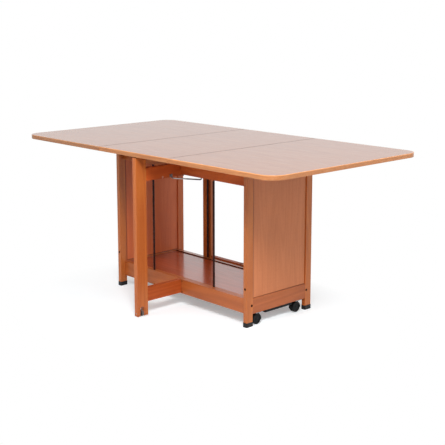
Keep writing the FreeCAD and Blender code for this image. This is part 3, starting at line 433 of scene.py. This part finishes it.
post_low, post_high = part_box("post_right_front")
post_x = (post_low.x + post_high.x) / 2
for hand, face in ((1, "front"), (-1, "back")):
    spots = [(end * post_x, hand * post_low.y, level)
             for end in (-1, 1) for level in SIDE_BOLT_LEVELS]
    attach(bolt_cups(face, spots, (0, -hand, 0)), "frame")
for hand, end in ((-1, "left"), (1, "right")):
    spots = [(hand * post_high.x, face * (post_low.y + END_BOLT_IN), level)
             for face in (-1, 1) for level in END_BOLT_LEVELS]
    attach(bolt_cups(end, spots, (hand, 0, 0)), "frame")

# Gates: two swinging frames, each a post and two rails of cherry glued flush, on steel pins at
# their rounded ends. The front one stands open, so its rails run across the table.
GATE_POST_TONES = ((196, 110, 48), (166, 80, 31))
# The high rails' redder tones are painted shade under the top.
GATE_HIGH_SHADE_TONES = ((204, 96, 41), (174, 70, 28))
GATE_LOW_TONES = ((188, 91, 41), (158, 67, 27))
GATE_POST_CUTS = {"front": 51.0, "back": 54.7}
GATE_RAILS = {"high_front": ("y", GATE_HIGH_SHADE_TONES, 61.0), "low_front": ("y", GATE_LOW_TONES, 62.3),
              "high_back": ("x", GATE_HIGH_SHADE_TONES, 63.9), "low_back": ("x", GATE_LOW_TONES, 65.2)}
ZINC_TONES = ((176, 176, 178), (126, 126, 130))
# A wire's colour off its painted reflection, as a painted dark reflection, and the fade at the
# reflection's ends.
WIRE_DARK_REFLECTION = (84, 78, 76)
GLINT_FADE = 0.012
# Plating: how much finer its grain is than its patches, the noise that makes a patch dull, how far
# the patches take the roughness down and up, and the grain's strength and depth.
PLATING_FINER = 8
DULL_RANGE = (0.35, 0.7)
DULL_SMOOTHER = 0.06
DULL_ROUGHER = 0.12
PLATING_RELIEF = (0.1, 0.0001)


def steel(name, tones, roughness, cells, glint_span=()):
    """Plated steel: fine noise is the grain of the plating, and broad noise makes dull patches in
    its colour and its roughness. It may carry a painted reflection in its own colour from one
    distance off the middle plane to another, with a fade at each, and a darker colour elsewhere as
    a painted dark reflection."""
    finish, tree, place, output = blank_finish(name)
    fine = even_noise(tree, place, cells * PLATING_FINER, detail=2.0)
    broad = even_noise(tree, place, cells, detail=4.0)
    dull = remap(tree, broad, *DULL_RANGE)
    tint = mix_tones(tree, dull, *[stain(*tone) for tone in tones])
    if glint_span:
        across = add(tree, "ShaderNodeSeparateXYZ", {"Vector": place}).outputs["X"]
        off = maths(tree, "ABSOLUTE", across)
        from_start = remap(tree, off, glint_span[0] - GLINT_FADE, glint_span[0])
        to_end = remap(tree, off, glint_span[1], glint_span[1] + GLINT_FADE, 1.0, 0.0)
        kept = maths(tree, "MULTIPLY", from_start, to_end)
        tint = mix_tones(tree, kept, stain(*WIRE_DARK_REFLECTION), tint)
    return surfaced(finish, output, {
        "Base Color": tint, "Metallic": 1.0, "Normal": relief(tree, fine, *PLATING_RELIEF),
        "Roughness": uneven(tree, broad, roughness - DULL_SMOOTHER, roughness + DULL_ROUGHER)})


for face, cut in GATE_POST_CUTS.items():
    coat_nodes(cherry("cherry_gate_post_" + face, "z", GATE_POST_TONES, cut), "gate_post_" + face)
for rail, (grain, tones, cut) in GATE_RAILS.items():
    coat_nodes(cherry("cherry_gate_" + rail, grain, tones, cut, shine=0.12, coat=0.12),
               "gate_rail_" + rail)
zinc = steel("zinc_plated_steel", ZINC_TONES, roughness=0.34, cells=90.0)
coat_nodes(zinc, "gate_hardware_front", "gate_hardware_back")

# Catch screws and wire buttons: two countersunk screws hold each catch plate to its gate's upper
# rail, and further out a pale nylon button keeps the wire hook from marking the rail.
CATCH_ALONG = 0.066
CATCH_SCREW_APART = 0.010
CATCH_RISE = 0.007
CATCH_SCREW_HEAD = 0.0026
BUTTON_ALONG = 0.115
BUTTON_RISE = 0.006
BUTTON_HEAD = 0.0048
BUTTON_TONES = ((216, 170, 148), (196, 150, 128))
# A head's rings as shares of its radius, and how far its rim and its closed inside lie below it.
HEAD_RINGS = np.array((0.0, 0.22, 0.4, 0.58, 0.8, 1.0, 1.0, 0.0))
HEAD_DEPTHS = np.array((0.0, 0.0, 0.0, 0.0, 0.0, 0.0, -0.0008, -0.0012))
HEAD_DOME = 0.0006
# Its cross recess: its depth, and half its width and its reach as shares of the radius.
CROSS_DEEP = 0.0009
CROSS_HALF = 0.16
CROSS_REACH = 0.6


def cross_heads(name, spots, normal, finish, head):
    """Raised countersunk screw heads in one mesh. On a polar grid of radius r and angle a the
    height is dome * (1 - (r / R) ^ 2), less a cross recess where the smaller of |x| and |y| is
    under half the cross's width and r is under its reach; the rim closes to a point inside."""
    radii = HEAD_RINGS * head
    dome = HEAD_DOME * (1 - HEAD_RINGS ** 2) + HEAD_DEPTHS
    points = around(spots, normal, radii, dome).reshape(len(spots), -1, 3)
    angle = np.arange(ROUND_SIDES) * math.tau / ROUND_SIDES
    x, y = radii[:, None] * np.cos(angle), radii[:, None] * np.sin(angle)
    crossed = np.minimum(abs(x), abs(y)) < CROSS_HALF * head
    inside = crossed & (radii[:, None] < CROSS_REACH * head)
    sunk = np.where(inside, CROSS_DEEP, 0.0).reshape(1, -1, 1) * np.array(normal, float)
    faces = ring_faces(len(spots), len(radii), closed=False)
    return skin(name, (points - sunk).reshape(-1, 3), faces, finish)


front_low, front_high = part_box("gate_rail_high_front")
back_low, back_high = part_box("gate_rail_high_back")
axis_x = (front_low.x + front_high.x) / 2
axis_y = (back_low.y + back_high.y) / 2
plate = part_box("gate_hardware_front")[1].x - front_high.x
catch_z = front_low.z + CATCH_RISE
rows = [CATCH_ALONG + hand * CATCH_SCREW_APART / 2 for hand in (-1, 1)]
front_spots = [(front_high.x + plate, -axis_y - row, catch_z) for row in rows]
back_spots = [(axis_x - row, back_high.y + plate, catch_z) for row in rows]
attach(cross_heads("catch_screws_front", front_spots, (1, 0, 0), zinc,
                    CATCH_SCREW_HEAD), "gate_front")
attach(cross_heads("catch_screws_back", back_spots, (0, 1, 0), zinc,
                    CATCH_SCREW_HEAD), "gate_back")
button_z = front_low.z + BUTTON_RISE
front_spots = [(front_high.x, -axis_y - BUTTON_ALONG, button_z)]
back_spots = [(axis_x - BUTTON_ALONG, back_high.y, button_z)]
pale_nylon = moulded("pale_nylon", BUTTON_TONES, roughness=0.4, cells=1500.0)
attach(cross_heads("wire_button_front", front_spots, (1, 0, 0), pale_nylon,
                    BUTTON_HEAD), "gate_front")
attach(cross_heads("wire_button_back", back_spots, (0, 1, 0), pale_nylon,
                    BUTTON_HEAD), "gate_back")

# Gate rollers: hard grey nylon wheels that turn on pins across the slots in the gate posts' feet,
# each with its outer end painted nearly black as painted shade in the slot.
ROLLER_TONES = ((112, 95, 88), (92, 78, 72))
# The reach of the painted shade on each roller's outer end.
ROLLER_SHADE_REACH = 0.007
for roller, axis in (("gate_roller_front", "y"), ("gate_roller_back", "x")):
    shaded_outer_end = (axis, getattr(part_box(roller)[0], axis), ROLLER_SHADE_REACH)
    coat_nodes(moulded("nylon_" + roller, ROLLER_TONES, roughness=0.45, cells=1500.0, shine=0.2,
                       shade_planes=(shaded_outer_end,)), roller)

# Gate hinge brackets: straps bent to a U and browned, their webs screwed to the ends of the
# facings behind the gates, with a pin through their ears and the gate rail. Two dark screws pinch
# the foot of each low one from the facing's outer face.
BRACKET_BROWN = (150, 82, 46)
PINCH_IN = 0.0048
PINCH_UP = 0.0072
PINCH_HEAD = 0.0041
coat_nodes(painted("brown_lacquered_steel", BRACKET_BROWN, roughness=0.4), "gate_hinge_brackets")
facing_low, facing_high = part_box("facing_low_front")
for hand, face in ((1, "front"), (-1, "back")):
    pinch = [(facing_low.x + PINCH_IN, hand * facing_low.y, z)
             for z in (facing_low.z + PINCH_UP, facing_high.z - PINCH_UP)]
    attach(cross_heads("pinch_screws_" + face, pinch, (0, -hand, 0), blackened,
                        PINCH_HEAD), "frame")

# Stays: bent rods of drawn steel that hook on the open gates, each pivoting in a small plate
# screwed under the high facing. A stretch of each keeps its bright colour as a painted reflection,
# and the rest is darker as a painted dark reflection.
WIRE_TONES = ((196, 190, 188), (170, 165, 164))
WIRE_GLINT_SPAN = (0.040, 0.082)
STAY_SCREW_OUT = 0.0105
STAY_SCREW_IN = 0.007
STAY_SCREW_HEAD = 0.0028
HEAD_CLEAR = 0.0001
coat_nodes(steel("bright_wire", WIRE_TONES, roughness=0.26, cells=160.0, glint_span=WIRE_GLINT_SPAN),
           "stay_hook_front", "stay_hook_back")
coat_nodes(zinc, "stay_plates")
stay_low, stay_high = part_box("stay_plates")
stay_middle = (stay_low.x + stay_high.x) / 2
stay_rows = (stay_low.y + STAY_SCREW_IN, stay_high.y - STAY_SCREW_IN)
stay_spots = [(stay_middle + hand * STAY_SCREW_OUT, row, stay_low.z - HEAD_CLEAR)
              for hand in (-1, 1) for row in stay_rows]
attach(cross_heads("stay_plate_screws", stay_spots, (0, 0, -1), zinc,
                    STAY_SCREW_HEAD), "frame")

# Castors: two black nylon twin-wheel castors under the right end rail, plates and stems of
# zinc-plated steel, moulded hoods, and a black bar and a cherry cleat between them.
HOOD_TONES = ((18, 18, 19), (32, 32, 34))
WHEEL_TONES = ((20, 21, 22), (34, 34, 36))
CASTOR_SCREW_X = 0.0105
CASTOR_SCREW_Y = 0.0155
CASTOR_SCREW_HEAD = 0.0032
CASTOR_PLATE_HALF = 0.020
CASTOR_PLATE_THICK = 0.0025
coat_nodes(moulded("castor_plastic", HOOD_TONES, roughness=0.4, cells=1800.0, shine=0.12),
           "castor_hood_front", "castor_hood_back", "castor_bar")
coat_nodes(moulded("wheel_nylon", WHEEL_TONES, roughness=0.42, cells=1500.0, shine=0.12),
           "castor_wheels_front", "castor_wheels_back")
coat_nodes(zinc, "castor_plates")
coat_nodes(cherry("cherry_cleat", "y", RAIL_TONES, cut=71.0, gloss=0.3), "castor_cleat")
plate_low, plate_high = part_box("castor_plates")
plate_x = (plate_low.x + plate_high.x) / 2
plate_y = plate_high.y - CASTOR_PLATE_HALF
plate_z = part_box("end_rail_low_right")[0].z - CASTOR_PLATE_THICK
castor_spots = [(plate_x + across * CASTOR_SCREW_X, face * (plate_y + along * CASTOR_SCREW_Y),
                 plate_z) for face in (-1, 1) for across in (-1, 1) for along in (-1, 1)]
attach(cross_heads("castor_plate_screws", castor_spots, (0, 0, -1), zinc,
                    CASTOR_SCREW_HEAD), "frame")

# Swivel: a board between the high rails carries a round plate; its twin is screwed under the top,
# and a rolled steel eyelet and a ring hold the two together.
SWIVEL_BOARD_TONES = ((186, 110, 66), (150, 80, 44))
RING_TONES = ((142, 142, 146), (104, 104, 108))
coat_nodes(cherry("cherry_swivel_board", "y", SWIVEL_BOARD_TONES, cut=81.0, coat=0.2, gloss=0.35),
           "swivel_board")
coat_nodes(zinc, "swivel_lower_plate", "swivel_upper_plate", "swivel_eyelet")
coat_nodes(steel("bright_ring", RING_TONES, roughness=0.26, cells=160.0), "swivel_ball_race")

# Top: three veneered boards, 20 mm thick, grain along the table, under a thick gloss lacquer that
# mirrors the light room at a low angle. The stain has gathered along the two seams.
TOP_TONES = ((161, 99, 57), (139, 79, 43))
TOP_CUTS = {"top_centre_panel": 91.0, "top_leaf_left": 93.1, "top_leaf_right": 95.2}
SEAM_REACH = 0.0042
centre_low, centre_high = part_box("top_centre_panel")
seam_x = (centre_high.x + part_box("top_leaf_right")[0].x) / 2
seams = (("x", -seam_x, SEAM_REACH), ("x", seam_x, SEAM_REACH))
underside = ("z", centre_low.z, BARE_REACH)
for board, cut in TOP_CUTS.items():
    coat_nodes(cherry("cherry_" + board, "x", TOP_TONES, cut, figure=0.36, rings=7.0, across=6.0,
                      coat=0.8, gloss=0.09, joints=seams, bare=(underside,)), board)

# Edge bands: strips of solid cherry glued round the boards' edges, trimmed flush, in a brighter
# orange than the faces because they show long grain. A pale line along their upper edges is a
# painted highlight, and the left band's darker tones are painted shade.
BANDS = {"centre": (((184, 123, 75), (163, 97, 52)), 101.0),
         "left": (((168, 117, 78), (149, 92, 54)), 102.3),
         "right": (((190, 129, 81), (169, 102, 56)), 103.6)}
# The width of the painted highlight along the bands' upper edges.
HIGHLIGHT_REACH = 0.004
highlighted_upper_edge = ("z", centre_high.z, HIGHLIGHT_REACH)
for band, (tones, cut) in BANDS.items():
    coat_nodes(cherry("cherry_edge_band_" + band, "x", tones, cut, across=30.0, coat=0.3,
                      gloss=0.12, highlighted=(highlighted_upper_edge,)), "edge_band_" + band)

# Leaf hinges: six zinc-plated steel hinges, three under each seam, let in flush with the undersides
# of the boards. Three countersunk screws go through each flap.
HINGE_ROWS = (-0.290, 0.0, 0.290)
HINGE_SCREWS = ((0.0105, -0.022), (0.0205, 0.0), (0.0105, 0.022))
HINGE_SCREW_HEAD = 0.0034
coat_nodes(zinc, "leaf_hinges")
hinge_spots = [(end * seam_x + hand * out, row + along, centre_low.z - HEAD_CLEAR)
               for end in (-1, 1) for hand in (-1, 1) for row in HINGE_ROWS
               for out, along in HINGE_SCREWS]
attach(cross_heads("leaf_hinge_screws", hinge_spots, (0, 0, -1), zinc,
                    HINGE_SCREW_HEAD), "top")

# Studio: a pale floor that keeps the table's shadow and fades into white, a white room that also
# shows in the lacquer, a strong soft lamp high at the right front, four weak ones round the table,
# and the camera.
FLOOR_WIDE = 14.0
FLOOR_PALE = (0.76, 0.81, 0.835, 1.0)
FLOOR_GLOW = 0.32
FADE_RANGE = (0.50, 0.98)
FLOOR_SHIFT = (-0.12, 0.24, 0.0)
FLOOR_OVAL = (1.0, 1.333, 1.0)
ROOM_LIGHT = 0.25
WHITE = (1.0, 1.0, 1.0, 1.0)


def plainly_seen(tree):
    """1 for what the camera sees, itself or in a reflection or through glass, and 0 for the light
    that falls on the table."""
    rays = add(tree, "ShaderNodeLightPath").outputs
    seen = maths(tree, "MAXIMUM", rays["Is Camera Ray"], rays["Is Glossy Ray"])
    return maths(tree, "MAXIMUM", seen, rays["Is Transmission Ray"])


def studio_floor():
    """The floor's material: a pale diffuse that catches the shadow, with a little white of its own
    for the camera and for reflections, all of it white beyond an oval round the table."""
    finish, tree, place, output = blank_finish("studio_floor")
    seen = plainly_seen(tree)
    oval = add(tree, "ShaderNodeMapping", {"Vector": place, "Location": FLOOR_SHIFT,
                                           "Scale": FLOOR_OVAL})
    away = add(tree, "ShaderNodeVectorMath", {0: oval.outputs[0]}, operation="LENGTH")
    fade = maths(tree, "MULTIPLY", remap(tree, away.outputs["Value"], *FADE_RANGE), seen)
    matt = add(tree, "ShaderNodeBsdfDiffuse", {"Color": FLOOR_PALE})
    glow = add(tree, "ShaderNodeEmission", {"Color": WHITE,
                                           "Strength": maths(tree, "MULTIPLY", seen, FLOOR_GLOW)})
    lit = add(tree, "ShaderNodeAddShader", {0: matt.outputs[0], 1: glow.outputs[0]})
    white = add(tree, "ShaderNodeEmission", {"Color": WHITE, "Strength": 1.0})
    faded = add(tree, "ShaderNodeMixShader", {0: fade, 1: lit.outputs[0], 2: white.outputs[0]})
    tree.links.new(faded.outputs[0], output.inputs[0])
    return finish


half = FLOOR_WIDE / 2
corners = [(-half, -half, 0), (half, -half, 0), (half, half, 0), (-half, half, 0)]
floor_mesh = bpy.data.meshes.new("studio_floor")
floor_mesh.from_pydata(corners, [], [(0, 1, 2, 3)])
floor_mesh.materials.append(studio_floor())
floor = bpy.data.objects.new("studio_floor", floor_mesh)
bpy.context.scene.collection.objects.link(floor)

world = bpy.data.worlds.new("white_room")
world.use_nodes = True
room = world.node_tree
room.nodes.clear()
strength = remap(room, plainly_seen(room), 0.0, 1.0, ROOM_LIGHT, 1.0)
backdrop = add(room, "ShaderNodeBackground", {"Color": WHITE, "Strength": strength})
room.links.new(backdrop.outputs[0], add(room, "ShaderNodeOutputWorld").inputs[0])
bpy.context.scene.world = world

# Each lamp's place, the height over the middle of the floor that it faces, its width and its watts.
LAMPS = {"lamp_key": ((2.4, -2.4, 3.2), 0.3, 1.2, 168.0),
         "lamp_left": ((-0.8, -3.2, 2.3), 0.3, 1.8, 24.0),
         "lamp_low": ((3.0, -2.6, 0.9), 0.4, 1.2, 9.0),
         "lamp_side": ((2.6, 2.4, 1.6), 0.3, 1.8, 34.0),
         "lamp_back": ((-1.0, 2.6, 3.2), 0.3, 1.8, 14.0)}
for name, (spot, aim, wide, watts) in LAMPS.items():
    lamp = bpy.data.lights.new(name, "AREA")
    lamp.shape = "SQUARE"
    lamp.size = wide
    lamp.energy = watts
    holder = bpy.data.objects.new(name, lamp)
    holder.location = spot
    beam = Vector((0.0, 0.0, aim)) - Vector(spot)
    holder.rotation_euler = beam.to_track_quat("-Z", "Y").to_euler()
    bpy.context.scene.collection.objects.link(holder)

CAMERA_SPOT = (3.3298, -3.0505, 1.3771)
CAMERA_TILT = math.radians(79.861)
CAMERA_YAW = math.radians(46.783)
CAMERA_FILM = 36.0
CAMERA_LENS = 78.417
CAMERA_SHIFT = -0.0955
camera = bpy.data.cameras.new("studio_camera")
camera.sensor_width = CAMERA_FILM
camera.lens = CAMERA_LENS
camera.shift_y = CAMERA_SHIFT
tripod = bpy.data.objects.new("studio_camera", camera)
tripod.location = CAMERA_SPOT
tripod.rotation_euler = (CAMERA_TILT, 0.0, CAMERA_YAW)
bpy.context.scene.collection.objects.link(tripod)
bpy.context.scene.camera = tripod
bpy.context.scene.view_settings.view_transform = "Standard"
